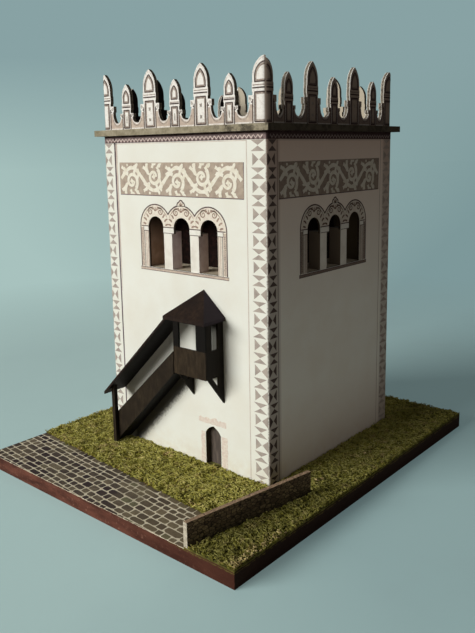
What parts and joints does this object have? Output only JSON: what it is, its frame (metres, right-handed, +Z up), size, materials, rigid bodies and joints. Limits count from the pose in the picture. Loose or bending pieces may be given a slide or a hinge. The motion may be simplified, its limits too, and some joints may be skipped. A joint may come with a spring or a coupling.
{
  "type": "card model of a bell tower on a scenic base board",
  "caption": "Card scale model of a square Renaissance bell tower with arched windows, merlon parapet, covered stair and balcony, standing on a turfed base board.",
  "frame": {"origin": "centre of the underside of the base board", "axes": "+Z up, -Y towards the front with the stair and the door, +X to the right seen from the front"},
  "size_m": [0.125, 0.149, 0.1484],
  "materials": {
    "base_board_stain": "stained hardboard, satin, redder on the cut edge",
    "turf_flock": "matt scenic grass flock, coarse and mottled",
    "cobble_print": "matt cobblestone print",
    "stone_print": "matt rubble stone print with pale cut ends",
    "printed_wall_card": "matt off-white printed card",
    "niche_card": "matt dark card with a beige floor",
    "pier_card": "matt white folded card",
    "cornice_card": "matt olive-grey card",
    "parapet_card": "matt printed card, dark on the inner face",
    "door_card": "matt dark grey planked door print",
    "timber_card": "matt dark brown card"
  },
  "bodies": {
    "root": {"back_niche": "niche_card", "back_parapet": "parapet_card", "back_pier_left": "pier_card", "back_pier_right": "pier_card", "back_wall": "printed_wall_card", "balcony_floor": "timber_card", "balcony_front_panel": "timber_card", "balcony_right_panel": "timber_card", "balcony_roof": "timber_card", "base_board": "base_board_stain", "boundary_wall": "stone_print", "bracket_left": "timber_card", "bracket_right": "timber_card", "cobble_sheet": "cobble_print", "cornice_slab": "cornice_card", "door_panel": "door_card", "front_niche": "niche_card", "front_parapet": "parapet_card", "front_pier_left": "pier_card", "front_pier_right": "pier_card", "front_wall": "printed_wall_card", "left_niche": "niche_card", "left_parapet": "parapet_card", "left_pier_left": "pier_card", "left_pier_right": "pier_card", "left_wall": "printed_wall_card", "right_niche": "niche_card", "right_parapet": "parapet_card", "right_pier_left": "pier_card", "right_pier_right": "pier_card", "right_wall": "printed_wall_card", "stair_flight": "timber_card", "stair_outer_panel": "timber_card", "stair_post": "timber_card", "stair_roof": "timber_card", "turf_mat": "turf_flock"}
  },
  "joints": []
}
